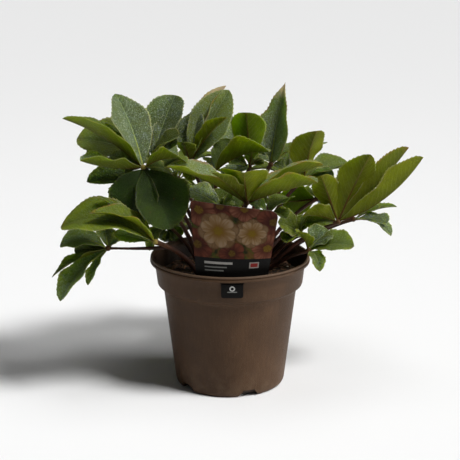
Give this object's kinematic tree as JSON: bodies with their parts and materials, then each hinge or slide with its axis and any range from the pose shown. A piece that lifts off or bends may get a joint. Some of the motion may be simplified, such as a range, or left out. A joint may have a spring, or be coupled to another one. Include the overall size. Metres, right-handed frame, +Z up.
{
  "type": "hellebore plant in a nursery pot",
  "caption": "Evergreen perennial with hand-shaped leathery leaves on red-brown stalks, growing in compost in a round tapered nursery pot with a picture label in its rim.",
  "frame": {"origin": "middle of the pot's flat underside, on the surface that the pot stands on", "axes": "+Z up, -Y to the front where the label stands, +X to the right as seen from the front"},
  "size_m": [0.4294, 0.2994, 0.3553],
  "materials": {
    "pot_brown": "matte",
    "compost": "matte",
    "crown": "matte",
    "label_print": "satin",
    "leaf_green": "satin",
    "stalk_red": "satin"
  },
  "bodies": {
    "root": {"pot": "pot_brown", "compost": "compost", "crown": "crown", "label": "label_print", "stalk_front_left_tall": "stalk_red", "stalk_back_left_tall": "stalk_red", "stalk_left_middle": "stalk_red", "stalk_centre_left_tall": "stalk_red", "stalk_centre_low": "stalk_red", "stalk_centre_young": "stalk_red", "stalk_centre_spire": "stalk_red", "stalk_right_tall": "stalk_red", "stalk_right_broad": "stalk_red", "stalk_front_centre": "stalk_red", "stalk_right_inner": "stalk_red", "stalk_right_far": "stalk_red", "stalk_front_right_low": "stalk_red", "stalk_right_low": "stalk_red", "stalk_left_low_broad": "stalk_red", "stalk_behind_label_left": "stalk_red", "stalk_behind_label_right": "stalk_red", "stalk_back_left": "stalk_red", "stalk_back_centre": "stalk_red", "stalk_back_right": "stalk_red", "stalk_back_left_low": "stalk_red", "stalk_back_right_low": "stalk_red", "stalk_back_skirt_left": "stalk_red", "stalk_back_skirt_right": "stalk_red", "leaf_front_left_tall": "leaf_green", "leaf_back_left_tall": "leaf_green", "leaf_left_middle": "leaf_green", "leaf_centre_left_tall": "leaf_green", "leaf_centre_low": "leaf_green", "leaf_centre_young": "leaf_green", "leaf_centre_spire": "leaf_green", "leaf_right_tall": "leaf_green", "leaf_right_broad": "leaf_green", "leaf_front_centre": "leaf_green", "leaf_right_inner": "leaf_green", "leaf_right_far": "leaf_green", "leaf_front_right_low": "leaf_green", "leaf_right_low": "leaf_green", "leaf_left_low_broad": "leaf_green", "leaf_left_low_far": "leaf_green", "leaf_behind_label_left": "leaf_green", "leaf_behind_label_right": "leaf_green", "leaf_back_left": "leaf_green", "leaf_back_centre": "leaf_green", "leaf_back_right": "leaf_green", "leaf_back_left_low": "leaf_green", "leaf_back_right_low": "leaf_green", "leaf_back_skirt_left": "leaf_green", "leaf_back_skirt_right": "leaf_green"}
  },
  "joints": []
}
